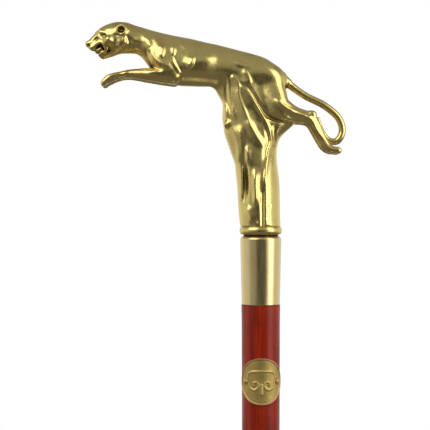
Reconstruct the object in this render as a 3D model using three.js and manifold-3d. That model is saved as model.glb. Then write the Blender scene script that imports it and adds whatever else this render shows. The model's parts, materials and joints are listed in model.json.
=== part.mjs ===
// A walking stick with a leaping big cat as its handle, in millimetres, +Z up.
// The origin is the centre of the rubber tip's underside and the shaft's axis is Z.
// The cat leaps towards -X and its flanks face -Y and +Y.
// The stick takes apart at two screw joints: under the handle, and half way down the shaft.
import * as THREE from "three";
import { LoftGeometry } from "three/addons/geometries/LoftGeometry.js";
import { mergeVertices } from "three/addons/utils/BufferGeometryUtils.js";
import Module from "manifold-3d";

// ---- driving dimensions ----
const HANDLE_JOINT_Z = 799; // middle of the groove between handle and collar
const SHAFT_JOINT_Z = 400; // middle of the joint in the shaft
const GAP = 0.3; // between pieces that touch on the real stick

const TIP_BASE_RADIUS = 14;
const TIP_HEIGHT = 32;
const TIP_FLOOR = 7; // rubber under the stick's end
const TIP_WASHER = { bore: 2.2, radius: 7.9, thickness: 1.4 };
const FERRULE_RADIUS = 8.3;
const FERRULE_TOP_Z = 46;
const FERRULE_WALL = 1.6; // its end wall, under the wood

const SHAFT_FOOT_RADIUS = 8.2; // the shaft's taper, from the tip ferrule to the collar
const SHAFT_HEAD_RADIUS = 10.35;
const COLLAR_LENGTH = 37.3;
const COLLAR_FOOT_RADIUS = 10.5;
const COLLAR_HEAD_RADIUS = 11.1;
const END_WALL = 4; // of the collar and of the joint ferrules
const TENON_RADIUS = { collar: 8.9, joint: 8.2, tip: 6.9 }; // turned ends of the wood, inside the metal

const THREAD_RADIUS = 5; // both studs are the same thread
const THREAD_PITCH = 1.5;
const THREAD_DEPTH = 0.8;
const THREAD_ENGAGED = 15;
const INSERT_RADIUS = 6.5;
const INSERT_LENGTH = 22;
const WASHER_THICKNESS = 1;
const WASHER_RADIUS = { handle: 9.4, shaft: 9 };
const JOINT_FERRULE_LENGTH = 28;
const JOINT_FERRULE_RADIUS = 10.3;

const BEAD_RADIUS = 11.5;
const BEAD_HEIGHT = 3.9;
const STEM_FOOT_RADIUS = 10.9;
const STEM_FOOT_TOP = 12; // height of the stem's round foot over the joint
const SPIGOT_RADIUS = 7.1; // the casting's foot, inside the bead ring
const STUD_IN_HANDLE = 26;

const MEDALLION_Z = HANDLE_JOINT_Z - 77.5;
const MEDALLION_RADIUS = 12.5;
const MEDALLION_THICKNESS = 0.9;
const MEDALLION_RIM = 0.7;
const MEDALLION_PIN_ARC = 9.4; // from its centre to each pin, round the shaft
const MEDALLION_PIN = { head: 1.55, shank: 0.65, length: 8 };
const TIP_TACK = { head: 1.2, shank: 0.55, length: 5 };
const TIP_TACK_Z = 40;
const PIN_LIFT = 0.1; // between a pin's head and what it holds

const HALF_SLOT = WASHER_THICKNESS / 2 + GAP;
const COLLAR_FOOT_Z = HANDLE_JOINT_Z - COLLAR_LENGTH;

// ---- materials ----
const brassCast = material(0xb9963f, 0.24, 1);
const brassTurned = material(0xc2a661, 0.36, 1);
const brassPlate = material(0x9c8038, 0.42, 1);
const steel = material(0x9a9a98, 0.35, 1);
const lacqueredWood = material(0x8c2414, 0.3, 0);
const leather = material(0x3a2412, 0.85, 0);
const rubber = material(0x1c1b1a, 0.8, 0);

function material(color, roughness, metalness) {
  return new THREE.MeshStandardMaterial({ color, roughness, metalness });
}

// ---- shape helpers ----
const ROUND_SIDES = 24; // flats round a turned piece
const BORE_SIDES = 16; // round a stud and its hole
const PIN_SIDES = 12;

const wasm = await Module();
wasm.setup();

// A closed geometry as a manifold-3d solid.
function solidOf(geometry) {
  const bare = new THREE.BufferGeometry();
  bare.setAttribute("position", geometry.getAttribute("position"));
  bare.setIndex(geometry.getIndex());
  const merged = mergeVertices(bare, 1e-4);
  return new wasm.Manifold(
    new wasm.Mesh({
      numProp: 3,
      vertProperties: merged.getAttribute("position").array,
      triVerts: new Uint32Array(merged.getIndex().array),
    }),
  );
}

// A manifold-3d solid as a geometry.
function geometryOf(solid) {
  const mesh = solid.getMesh();
  const geometry = new THREE.BufferGeometry();
  geometry.setAttribute("position", new THREE.BufferAttribute(mesh.vertProperties, 3));
  geometry.setIndex(new THREE.BufferAttribute(mesh.triVerts, 1));
  geometry.computeVertexNormals();
  return geometry;
}

const joined = (geometries) => geometries.map(solidOf).reduce((a, b) => a.add(b));
const cut = (geometry, ...tools) =>
  geometryOf(tools.reduce((body, tool) => body.subtract(solidOf(tool)), solidOf(geometry)));

function part(name, geometry, finish) {
  const mesh = new THREE.Mesh(geometry, finish);
  mesh.name = name;
  return mesh;
}

// A body turned about Z from an outline of [radius, height] points, outer side upwards.
function turned(outline, sides = ROUND_SIDES) {
  const points = outline.map(([radius, height]) => new THREE.Vector2(radius, height));
  return new THREE.LatheGeometry(points, sides).rotateX(Math.PI / 2);
}

// A tube: the outline closes on itself.
const ring = (outline, sides) => turned([...outline, outline[0]], sides);

// A plain rod or a cutting tool, on the Z axis.
function rod(radius, z0, z1, sides = 20) {
  return turned([[0, z0], [radius, z0], [radius, z1], [0, z1]], sides);
}

// Points of an arc about [radius, height], in degrees from the outward direction.
function arc(centre, radius, from, to, steps = 3) {
  return Array.from({ length: steps + 1 }, (_, i) => {
    const angle = THREE.MathUtils.degToRad(THREE.MathUtils.lerp(from, to, i / steps));
    return [centre[0] + radius * Math.cos(angle), centre[1] + radius * Math.sin(angle)];
  });
}

// A body of oval sections along a smooth line. A station is [x, y, z, side, above, below]:
// side is the half width along Y, and above and below are the half heights across the line.
// Above is +Z on a line that runs towards +X, and -X on a line that runs upwards.
function form(stations, { sides = 12, steps = 2 } = {}) {
  const line = new THREE.CatmullRomCurve3(stations.map(([x, y, z]) => new THREE.Vector3(x, y, z)));
  const sizes = new THREE.CatmullRomCurve3(stations.map((s) => new THREE.Vector3(s[3], s[4], s[5])));
  const count = (stations.length - 1) * steps;
  const rings = [];
  const addRing = (t, along, scale) => {
    const centre = line.getPoint(t).addScaledVector(line.getTangent(t), along);
    rings.push(ovalRing(centre, line.getTangent(t), sizes.getPoint(t).multiplyScalar(scale), sides));
  };
  const endRadius = (t) => Math.min(...sizes.getPoint(t).toArray());
  addRing(0, -endRadius(0) * 0.97, 0.25);
  addRing(0, -endRadius(0) * 0.71, 0.71);
  for (let i = 0; i <= count; i++) addRing(i / count, 0, 1);
  addRing(1, endRadius(1) * 0.71, 0.71);
  addRing(1, endRadius(1) * 0.97, 0.25);
  return new LoftGeometry(rings, { capStart: true, capEnd: true });
}

function ovalRing(centre, tangent, { x: side, y: above, z: below }, sides) {
  const across = new THREE.Vector3(0, 1, 0).addScaledVector(tangent, -tangent.y).normalize();
  const up = new THREE.Vector3().crossVectors(tangent, across);
  return Array.from({ length: sides }, (_, i) => {
    const angle = (2 * Math.PI * i) / sides;
    const height = Math.sin(angle) * (Math.sin(angle) > 0 ? above : below);
    return centre.clone().addScaledVector(across, side * Math.cos(angle)).addScaledVector(up, height);
  });
}

// The same form on the near flank (-Y) and, mirrored, on the far flank (+Y).
function pair(stations, options) {
  const far = stations.map(([x, y, ...rest]) => [x, -y, ...rest]);
  return [form(stations, options), form(far, options)];
}

// ---- the handle, in its own frame: Z = 0 is the handle joint ----
const torso = [
  [-71, 0, 106.2, 6.6, 7.6, 6.6],
  [-63, 0, 104.2, 7.2, 8.2, 8],
  [-54, 0, 99.6, 9.3, 9.8, 13],
  [-42, 0, 95.4, 10.8, 11.5, 14.6],
  [-28, 0, 92.6, 10.8, 11.2, 12.6],
  [-14, 0, 90.6, 10, 10.1, 10.6],
  [-2, 0, 87.4, 9.4, 9.8, 9],
  [7, 0, 82.5, 8.6, 8.6, 8.4],
];
const skull = [
  [-92.9, 0, 102.9, 2.6, 2, 2],
  [-90.4, 0, 103.8, 3.7, 3, 2.7],
  [-87, 0, 106, 5.6, 5, 4.4],
  [-78, 0, 107.2, 8, 7.8, 7.4],
  [-72, 0, 106.6, 7.8, 7.8, 7.6],
];
const lowerJaw = [
  [-84.9, 0, 97.4, 2.6, 1.9, 2],
  [-80, 0, 98.8, 4.4, 2.2, 2.1],
  [-74, 0, 101, 5.4, 3.4, 3.2],
];
const ear = [
  [-77.4, -6.4, 111, 1.6, 2.4, 2.2],
  [-75, -7, 111, 1.9, 3, 2.8],
  [-72.8, -7.2, 110.6, 1.6, 2.1, 2],
];
const earHollow = [
  [-76.4, -9.3, 111, 1.2, 1, 1],
  [-74.2, -9.3, 110.9, 1.2, 1.2, 1.2],
];
const foreleg = [
  [-85, -5.2, 82, 2.9, 2.2, 2.1],
  [-82, -5.2, 84.6, 3.2, 2.4, 2.3],
  [-74, -5.5, 86.3, 2.6, 2, 2],
  [-62, -6.6, 86.3, 3.3, 3.4, 3.2],
  [-50, -7.4, 84.8, 4, 4.4, 4.2],
];
const upperArm = [
  [-46, -7.6, 84.8, 3.8, 4, 3.8],
  [-50, -7.6, 91, 4.4, 5.6, 6.6],
  [-53, -5.8, 98, 4, 6.2, 8],
];
const thigh = [
  [-1, -5, 87, 5, 6, 6],
  [4, -6.4, 79, 5.8, 10.4, 10.6],
  [9.6, -6.4, 70.5, 5.2, 7.2, 9.6],
  [16, -6, 65.6, 4, 4.4, 5.2],
];
const hindShin = [
  [12, -6, 67.6, 4, 5, 5.6],
  [20, -5.8, 64.8, 3, 3.8, 4.6],
  [26.6, -5.6, 63, 2.7, 3.8, 3.4],
  [29.6, -5.6, 57.6, 2.4, 3.2, 3.4],
  [33.4, -5.6, 50, 2.4, 2.9, 3],
  [36.6, -5.6, 46.6, 3, 2.4, 2.4],
  [41.4, -5.6, 45.8, 2.6, 2, 1.9],
];
const stem = [
  [-0.1, 0, 7, 10.8, 10.9, 10.8],
  [-1.1, 0, 16, 10.8, 11.2, 11.3],
  [-1.6, 0, 30, 10.5, 11.3, 11.2],
  [-3, 0, 42, 10, 11.6, 11.6],
  [-5, 0, 54, 9.4, 14.6, 14.2],
  [-5.6, 0, 64, 9, 15.6, 16],
  [-6.6, 0, 76, 8.4, 16.4, 15],
];
const frontWeb = [
  [-11, 0, 60, 6.6, 8.4, 6],
  [-15.4, 0, 72, 7.4, 7.6, 8],
  [-20, 0, 84, 7.6, 8.6, 8],
];
const rearWeb = [
  [4, 0, 50, 7, 6, 4.6],
  [8, 0, 60, 7, 8, 5],
  [14, 0, 66, 6.6, 6, 5.6],
];
// Folds of the draped stem, each a low raised band: one sweeps across, one rises to a point
// over the flank, and one runs down the front edge.
const sweepingFold = [
  [-9.4, -7.6, 78, 0.9, 2.4, 2.4],
  [-1.4, -7.9, 66, 1.8, 5, 5.4],
  [3, -8.6, 54, 1.9, 5, 4.6],
  [3.4, -9.6, 40, 1.7, 4.4, 3.6],
  [0, -10.5, 22, 0.9, 1.6, 1.6],
];
const risingFold = [
  [-17.2, -10, 85.2, 0.7, 0.8, 0.8],
  [-15, -8.8, 76, 1.4, 3.2, 3],
  [-11.8, -8.4, 64, 1.8, 4, 4],
  [-5.6, -9.4, 46, 1, 2, 2],
];
const edgeFold = [
  [-17.6, -3.4, 64, 2.6, 2.6, 2.4],
  [-15, -5, 48, 3.2, 2.8, 2.8],
  [-11.8, -5.6, 32, 2.2, 1.6, 1.6],
];
const tail = [
  [10.6, 0, 85.6],
  [16.8, 0, 80.4],
  [24.4, 0, 75.2],
  [34.2, 0, 70.2],
  [41.8, 0, 63.6],
  [44, 0, 56.4],
  [41.4, 0, 51.2],
  [37, 0, 51.2],
  [33.4, 0, 55.6],
  [30.9, 0, 63],
];
const TAIL_ROOT_RADIUS = 2.2;
const TAIL_LOOP_RADIUS = 2;
const TAIL_TIP_RADIUS = 1.2;

// The tail's stations: even to the end of the loop, then finer to the tip.
function tailStations(allowance = 0) {
  const loopEnd = 6;
  return tail.map(([x, y, z], i) => {
    const slim = Math.max(0, (i - loopEnd) / (tail.length - 1 - loopEnd));
    const thick = i === 0 ? TAIL_ROOT_RADIUS : TAIL_LOOP_RADIUS;
    const radius = THREE.MathUtils.lerp(thick, TAIL_TIP_RADIUS, slim) + allowance;
    return [x, y, z, radius, radius, radius];
  });
}

function catCasting() {
  const forms = [
    form(torso, { sides: 18 }),
    form(skull, { sides: 14 }),
    form(lowerJaw, { sides: 8, steps: 1 }),
    ...pair(ear, { sides: 8, steps: 1 }),
    ...pair(foreleg, { sides: 8, steps: 1 }),
    ...pair(upperArm, { sides: 10 }),
    ...pair(thigh, { sides: 12 }),
    ...pair(hindShin, { sides: 8, steps: 1 }),
    form(stem, { sides: 24, steps: 1 }),
    form(frontWeb, { sides: 12 }),
    form(rearWeb, { sides: 10 }),
    ...pair(sweepingFold, { sides: 6, steps: 1 }),
    ...pair(risingFold, { sides: 6, steps: 1 }),
    ...pair(edgeFold, { sides: 6, steps: 1 }),
  ];
  const spigotEnd = HALF_SLOT + GAP;
  const footZ = HALF_SLOT + BEAD_HEIGHT + GAP;
  const foot = turned([[0, spigotEnd], [SPIGOT_RADIUS, spigotEnd], [SPIGOT_RADIUS, footZ],
    [STEM_FOOT_RADIUS, footZ], [STEM_FOOT_RADIUS, STEM_FOOT_TOP], [0, STEM_FOOT_TOP]]);
  const belowFoot = rod(2 * STEM_FOOT_RADIUS, -STEM_FOOT_RADIUS, footZ);
  const body = joined(forms).subtract(solidOf(belowFoot)).add(solidOf(foot));
  const hollows = [
    rod(THREAD_RADIUS + GAP, -1, STUD_IN_HANDLE + GAP, BORE_SIDES),
    form(tailStations(GAP), { sides: 8 }),
    ...pair(earHollow, { sides: 6, steps: 1 }),
  ];
  return cut(geometryOf(body), ...hollows);
}

function beadRing() {
  const top = HALF_SLOT + BEAD_HEIGHT;
  const bore = SPIGOT_RADIUS + GAP;
  const footRadius = 9.7;
  const round = 2.4; // of the bead's belly
  const belly = arc([BEAD_RADIUS - round, HALF_SLOT + 2.5], round, -70, 35);
  return ring([[bore, HALF_SLOT], [footRadius, HALF_SLOT], ...belly, [STEM_FOOT_RADIUS, top], [bore, top]]);
}

// ---- the screw joints, each in its own frame: Z = 0 is the middle of the joint ----
// A stud's thread is cut as plain grooves, at the real pitch.
function stud(fixedLength) {
  const low = -HALF_SLOT - THREAD_ENGAGED;
  const threadEnd = -HALF_SLOT - 1;
  const root = THREAD_RADIUS - THREAD_DEPTH;
  const outline = [[0, low], [root, low]];
  for (let z = low + 1; z < threadEnd - THREAD_PITCH / 2; z += THREAD_PITCH) {
    outline.push([THREAD_RADIUS, z], [root, z + THREAD_PITCH / 2]);
  }
  outline.push([THREAD_RADIUS, threadEnd], [THREAD_RADIUS, fixedLength], [0, fixedLength]);
  return turned(outline, BORE_SIDES);
}

function threadedInsert() {
  const bore = THREAD_RADIUS + GAP + 0.1;
  const top = -HALF_SLOT;
  const foot = top - INSERT_LENGTH;
  return ring([[bore, foot], [INSERT_RADIUS, foot], [INSERT_RADIUS, top], [bore, top]]);
}

function jointWasher(radius) {
  const bore = THREAD_RADIUS + GAP;
  const half = WASHER_THICKNESS / 2;
  return ring([[bore, -half], [radius, -half], [radius, half], [bore, half]]);
}

// ---- the shaft ----
function shaftRadius(z) {
  const share = (z - FERRULE_TOP_Z) / (COLLAR_FOOT_Z - FERRULE_TOP_Z);
  return THREE.MathUtils.lerp(SHAFT_FOOT_RADIUS, SHAFT_HEAD_RADIUS, share);
}

function collar() {
  const top = HANDLE_JOINT_Z - HALF_SLOT;
  const bore = TENON_RADIUS.collar + GAP;
  const eye = INSERT_RADIUS + GAP;
  const edge = 1.7;
  const shoulder = arc([COLLAR_HEAD_RADIUS - edge, top - edge], edge, 0, 90);
  return ring([[bore, COLLAR_FOOT_Z], [COLLAR_FOOT_RADIUS, COLLAR_FOOT_Z], ...shoulder,
    [eye, top], [eye, top - END_WALL], [bore, top - END_WALL]]);
}

// A sleeve over the shaft's end at the joint. Its closed end faces the joint.
function jointFerrule(eye) {
  const bore = TENON_RADIUS.joint + GAP;
  const mouth = -HALF_SLOT - JOINT_FERRULE_LENGTH;
  const top = -HALF_SLOT;
  const edge = 1;
  const shoulder = arc([JOINT_FERRULE_RADIUS - edge, top - edge], edge, 0, 90);
  const lip = arc([JOINT_FERRULE_RADIUS - 0.5, mouth + 0.5], 0.5, -90, 0, 2);
  return ring([[bore, mouth], ...lip, ...shoulder, [eye, top], [eye, top - END_WALL],
    [bore, top - END_WALL]]);
}

function upperShaft() {
  const head = HANDLE_JOINT_Z - HALF_SLOT - END_WALL - GAP;
  const collarShoulder = COLLAR_FOOT_Z - GAP;
  const foot = SHAFT_JOINT_Z + HALF_SLOT + END_WALL + GAP;
  const ferruleShoulder = SHAFT_JOINT_Z + HALF_SLOT + JOINT_FERRULE_LENGTH + GAP;
  const wood = turned([[0, foot], [TENON_RADIUS.joint, foot], [TENON_RADIUS.joint, ferruleShoulder],
    [shaftRadius(ferruleShoulder), ferruleShoulder], [shaftRadius(collarShoulder), collarShoulder],
    [TENON_RADIUS.collar, collarShoulder], [TENON_RADIUS.collar, head], [0, head]]);
  const insertHole = rod(INSERT_RADIUS + GAP, HANDLE_JOINT_Z - HALF_SLOT - INSERT_LENGTH - GAP, head + 1);
  const studHole = rod(THREAD_RADIUS + GAP, foot - 1, SHAFT_JOINT_Z + STUD_IN_HANDLE + GAP);
  const pinHoles = [-1, 1].map((side) => medallionPin(side, pinHole));
  return cut(wood, insertHole, studHole, ...pinHoles);
}

function lowerShaft() {
  const head = SHAFT_JOINT_Z - HALF_SLOT - END_WALL - GAP;
  const ferruleShoulder = SHAFT_JOINT_Z - HALF_SLOT - JOINT_FERRULE_LENGTH - GAP;
  const tipShoulder = FERRULE_TOP_Z + GAP;
  const wood = turned([[0, WOOD_FOOT_Z], [TENON_RADIUS.tip, WOOD_FOOT_Z], [TENON_RADIUS.tip, tipShoulder],
    [shaftRadius(tipShoulder), tipShoulder], [shaftRadius(ferruleShoulder), ferruleShoulder],
    [TENON_RADIUS.joint, ferruleShoulder], [TENON_RADIUS.joint, head], [0, head]]);
  const insertHole = rod(INSERT_RADIUS + GAP, SHAFT_JOINT_Z - HALF_SLOT - INSERT_LENGTH - GAP, head + 1);
  return cut(wood, insertHole, tipTack(pinHole));
}

// ---- the medallion, a disc bent round the shaft, and its two pins ----
const medallionSeat = shaftRadius(MEDALLION_Z + MEDALLION_RADIUS) + GAP;

function medallion() {
  const field = MEDALLION_THICKNESS - 0.25; // the face lies a little under its rim
  const chamfer = 0.2;
  const rimRadius = MEDALLION_RADIUS - MEDALLION_RIM;
  const rings = [0.25, 0.5, 0.75].map((share) => share * rimRadius);
  const disc = turned([[0, 0], ...rings.map((r) => [r, 0]), [MEDALLION_RADIUS, 0],
    [MEDALLION_RADIUS, MEDALLION_THICKNESS - chamfer], [MEDALLION_RADIUS - chamfer, MEDALLION_THICKNESS],
    [rimRadius, MEDALLION_THICKNESS], [rimRadius - 0.3, field],
    ...rings.toReversed().map((r) => [r, field]), [0, field]]);
  const position = disc.getAttribute("position");
  const point = new THREE.Vector3();
  for (let i = 0; i < position.count; i++) {
    point.fromBufferAttribute(position, i);
    const angle = point.x / medallionSeat;
    const radius = medallionSeat + point.z;
    position.setXYZ(i, radius * Math.sin(angle), -radius * Math.cos(angle), MEDALLION_Z + point.y);
  }
  const holes = [-1, 1].map((side) => medallionPin(side, pinHole));
  return cut(disc, ...holes);
}

// A domed pin along +Z with its head's underside at Z = 0.
function domedPin({ head, shank, length }) {
  const point = 1.2;
  const dome = arc([0, -head * 0.2], head * 1.02, 15, 90);
  dome[dome.length - 1][0] = 0;
  return turned([[0, -length], [shank * 0.5, -length], [shank, -length + point], [shank, 0],
    [head, 0], ...dome], PIN_SIDES);
}

// The tool that cuts a pin's hole.
function pinHole({ shank, length }) {
  const reach = 4; // past the surface
  return rod(shank + GAP, -length - GAP, reach, PIN_SIDES);
}

// side is -1 for the pin on the -X side and 1 for the one on the +X side.
function medallionPin(side, make = domedPin) {
  const angle = (side * MEDALLION_PIN_ARC) / medallionSeat;
  const seat = medallionSeat + MEDALLION_THICKNESS + PIN_LIFT;
  const outwards = new THREE.Vector3(Math.sin(angle), -Math.cos(angle), 0);
  return aimed(make(MEDALLION_PIN), outwards, seat, MEDALLION_Z);
}

function tipTack(make = domedPin) {
  return aimed(make(TIP_TACK), new THREE.Vector3(0, -1, 0), FERRULE_RADIUS + PIN_LIFT, TIP_TACK_Z);
}

// Turns a piece made along +Z to point outwards from the shaft, its zero at that radius.
function aimed(geometry, outwards, radius, z) {
  const turn = new THREE.Quaternion().setFromUnitVectors(new THREE.Vector3(0, 0, 1), outwards);
  geometry.applyQuaternion(turn);
  return geometry.translate(outwards.x * radius, outwards.y * radius, z);
}

// ---- the foot of the stick ----
const FERRULE_FOOT_Z = TIP_FLOOR + TIP_WASHER.thickness + 2 * GAP;
const WOOD_FOOT_Z = FERRULE_FOOT_Z + FERRULE_WALL + GAP;

function tipFerrule() {
  const bore = TENON_RADIUS.tip + GAP;
  const edge = 0.8;
  const chamfer = 0.4;
  const cup = turned([[0, FERRULE_FOOT_Z],
    ...arc([FERRULE_RADIUS - edge, FERRULE_FOOT_Z + edge], edge, -90, 0),
    [FERRULE_RADIUS, FERRULE_TOP_Z - chamfer], [FERRULE_RADIUS - chamfer, FERRULE_TOP_Z],
    [bore, FERRULE_TOP_Z], [bore, WOOD_FOOT_Z - GAP], [0, WOOD_FOOT_Z - GAP]]);
  return cut(cup, tipTack(pinHole));
}

function rubberTip() {
  const bore = FERRULE_RADIUS + GAP;
  const edge = 1.2;
  return turned([[0, 0], ...arc([TIP_BASE_RADIUS - edge, edge], edge, -90, 0), [TIP_BASE_RADIUS, 5],
    [12.6, 7.4], [11.4, TIP_HEIGHT - 4.6], [11.9, TIP_HEIGHT - 4], [11.9, TIP_HEIGHT - 0.8],
    [11.1, TIP_HEIGHT], [bore, TIP_HEIGHT], [bore, TIP_FLOOR], [0, TIP_FLOOR]]);
}

function tipWasher() {
  const { bore, radius, thickness } = TIP_WASHER;
  const low = TIP_FLOOR + GAP;
  return ring([[bore, low], [radius, low], [radius, low + thickness], [bore, low + thickness]]);
}

// ---- the assembly ----
const handle = new THREE.Group();
handle.position.z = HANDLE_JOINT_Z;
handle.add(
  part("cat_casting", catCasting(), brassCast),
  part("tail", form(tailStations(), { sides: 8 }), brassCast),
  part("bead_ring", beadRing(), brassCast),
  part("handle_stud", stud(STUD_IN_HANDLE), steel),
  part("handle_joint_washer", jointWasher(WASHER_RADIUS.handle), leather),
  part("collar_insert", threadedInsert(), brassTurned),
);

const shaftJoint = new THREE.Group();
shaftJoint.position.z = SHAFT_JOINT_Z;
const upperJointFerrule = part("upper_joint_ferrule", jointFerrule(THREAD_RADIUS + GAP), brassTurned);
upperJointFerrule.rotation.x = Math.PI;
shaftJoint.add(
  upperJointFerrule,
  part("lower_joint_ferrule", jointFerrule(INSERT_RADIUS + GAP), brassTurned),
  part("shaft_joint_stud", stud(STUD_IN_HANDLE), steel),
  part("shaft_joint_washer", jointWasher(WASHER_RADIUS.shaft), leather),
  part("shaft_joint_insert", threadedInsert(), brassTurned),
);

const stick = new THREE.Group();
stick.add(
  handle,
  shaftJoint,
  part("collar", collar(), brassTurned),
  part("upper_shaft", upperShaft(), lacqueredWood),
  part("lower_shaft", lowerShaft(), lacqueredWood),
  part("medallion", medallion(), brassPlate),
  part("medallion_pin_left", medallionPin(-1), brassPlate),
  part("medallion_pin_right", medallionPin(1), brassPlate),
  part("tip_ferrule", tipFerrule(), brassTurned),
  part("tip_tack", tipTack(), brassPlate),
  part("tip_washer", tipWasher(), steel),
  part("rubber_tip", rubberTip(), rubber),
);

export default stick;
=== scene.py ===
"""The looks of a walking stick whose handle is a leaping big cat in cast brass.

The cat is sculpted here as a distance field and meshed. The turned, threaded and bent pieces are
made from their outlines. Shapes are worked in millimetres and scaled to metres as each piece is made.
The cat, and the pieces at a joint, are worked with Z = 0 at the middle of their joint.
"""
import json
import math

import bpy
import numpy as np
from mathutils import Matrix, Vector


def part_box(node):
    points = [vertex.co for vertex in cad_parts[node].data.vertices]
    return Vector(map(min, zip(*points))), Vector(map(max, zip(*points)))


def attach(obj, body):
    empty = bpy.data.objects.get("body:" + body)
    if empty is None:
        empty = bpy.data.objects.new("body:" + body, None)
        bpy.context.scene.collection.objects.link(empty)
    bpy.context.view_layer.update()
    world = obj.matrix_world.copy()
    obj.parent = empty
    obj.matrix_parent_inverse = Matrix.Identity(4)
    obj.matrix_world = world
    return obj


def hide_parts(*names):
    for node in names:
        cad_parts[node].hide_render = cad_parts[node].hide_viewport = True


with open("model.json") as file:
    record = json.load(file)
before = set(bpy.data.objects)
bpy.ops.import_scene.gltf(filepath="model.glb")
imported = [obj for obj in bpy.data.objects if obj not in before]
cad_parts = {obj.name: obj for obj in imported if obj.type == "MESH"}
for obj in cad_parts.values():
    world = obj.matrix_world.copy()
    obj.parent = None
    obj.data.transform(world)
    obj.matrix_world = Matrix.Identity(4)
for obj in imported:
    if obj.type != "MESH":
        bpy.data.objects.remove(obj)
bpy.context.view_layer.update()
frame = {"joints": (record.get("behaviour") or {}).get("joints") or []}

MM = 0.001


def joint_height(name):
    """Height in millimetres of a hinge's place on the shaft."""
    joint = next(j for j in frame["joints"] if j["name"] == name)
    return joint["pos_m"][2] / MM


def heights(node):
    """Lowest and highest Z of a CAD node, in millimetres."""
    low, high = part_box(node)
    return low.z / MM, high.z / MM


def half_width(node):
    """Half of a CAD node's size along X, in millimetres: a turned piece's radius."""
    low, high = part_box(node)
    return (high.x - low.x) / 2 / MM


HANDLE_Z = joint_height("handle_unscrew")
SHAFT_Z = joint_height("shaft_unscrew")


# ---- meshes ----
def new_mesh(name, points, faces, sharp_degrees=35):
    """An object from points in millimetres. Edges sharper than the angle stay crisp."""
    mesh = bpy.data.meshes.new(name)
    mesh.from_pydata((np.asarray(points, float) * MM).tolist(), [], faces)
    mesh.update()
    mesh.shade_smooth()
    mesh.set_sharp_from_angle(angle=math.radians(sharp_degrees))
    piece = bpy.data.objects.new(name, mesh)
    bpy.context.scene.collection.objects.link(piece)
    return piece


def finish_piece(piece, body, slot, *nodes):
    """Puts a piece on its body, in its slot and material, in place of its CAD nodes."""
    piece.data.materials.append(FINISHES[slot])
    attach(piece, body)
    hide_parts(*nodes)


def set_values(piece, name, values):
    """Gives each of a piece's points a number, for its material to read."""
    attribute = piece.data.attributes.new(name, "FLOAT", "POINT")
    attribute.data.foreach_set("value", values.astype(np.float32))


def net_faces(rows, columns, wrap_rows=False):
    """Quads over a grid of points in row order, whose columns close on themselves."""
    faces = []
    for i in range(rows if wrap_rows else rows - 1):
        for j in range(columns):
            k = (j + 1) % columns
            n = (i + 1) % rows
            faces.append((i * columns + j, i * columns + k, n * columns + k, n * columns + j))
    return faces


def end_faces(rows, columns):
    """The two faces that close a net at its first and last rows."""
    last = (rows - 1) * columns
    return [tuple(range(columns))[::-1], tuple(range(last, last + columns))]


def rounded(outline, radius, steps=4):
    """The outline with each corner between its ends turned into a small arc."""
    points = [np.array(outline[0], float)]
    for before, corner, after in zip(outline, outline[1:], outline[2:]):
        corner = np.array(corner, float)
        back, ahead = np.array(before, float) - corner, np.array(after, float) - corner
        reach = min(radius, np.linalg.norm(back) * 0.45, np.linalg.norm(ahead) * 0.45)
        start = corner + back / np.linalg.norm(back) * reach
        end = corner + ahead / np.linalg.norm(ahead) * reach
        for t in np.linspace(0, 1, steps + 1):
            points.append((1 - t) ** 2 * start + 2 * t * (1 - t) * corner + t**2 * end)
    points.append(np.array(outline[-1], float))
    return points


def turned(name, outline, edge=0.25, sides=96, closed=False, shape=None):
    """A piece turned round Z from [radius, height] points, outer side upwards. A tube's outline is
    closed. shape(angle, radius, z) may change the radius, for hand work."""
    if closed:
        middle = [(outline[0][0] + outline[-1][0]) / 2, (outline[0][1] + outline[-1][1]) / 2]
        outline = [middle, *outline, middle]
    profile = rounded(outline, edge) if edge else outline
    if closed:
        profile = profile[:-1]
    angles = np.linspace(0, 2 * np.pi, sides, endpoint=False)
    points = []
    for radius, z in profile:
        r = np.full(sides, radius) if shape is None else shape(angles, radius, z)
        points.append(np.stack([r * np.cos(angles), r * np.sin(angles), np.full(sides, z)], -1))
    rows = len(profile)
    points = np.concatenate(points)
    faces = net_faces(rows, sides, closed)
    if not closed:
        faces += end_faces(rows, sides)
    return new_mesh(name, points, faces)


ACROSS = np.array([0.0, 1.0, 0.0])  # swept pieces lie in the plane of X and Z


def swept(name, centres, radii, sides=24, steps=8):
    """A round rod along a smooth line through the centres, with rounded ends."""
    line = smooth_line(np.column_stack([centres, radii]), steps)
    centre, radius = line[:, :3], line[:, 3]
    tangent = np.gradient(centre, axis=0)
    tangent /= np.linalg.norm(tangent, axis=1)[:, None]
    cap = np.linspace(0, np.pi / 2, 6)[:-1]
    head = [(centre[0] - tangent[0] * radius[0] * np.cos(a), tangent[0], radius[0] * np.sin(a))
            for a in cap]
    tail = [(centre[-1] + tangent[-1] * radius[-1] * np.cos(a), tangent[-1], radius[-1] * np.sin(a))
            for a in cap[::-1]]
    rings = [r for r in [*head, *zip(centre, tangent, radius), *tail] if r[2] > 1e-6]
    angles = np.linspace(0, 2 * np.pi, sides, endpoint=False)
    points = []
    for middle, along, size in rings:
        up = np.cross(along, ACROSS)
        points.append(middle + size * (np.cos(angles)[:, None] * ACROSS + np.sin(angles)[:, None] * up))
    faces = net_faces(len(rings), sides) + end_faces(len(rings), sides)
    return new_mesh(name, np.concatenate(points), faces, 60)


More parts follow.
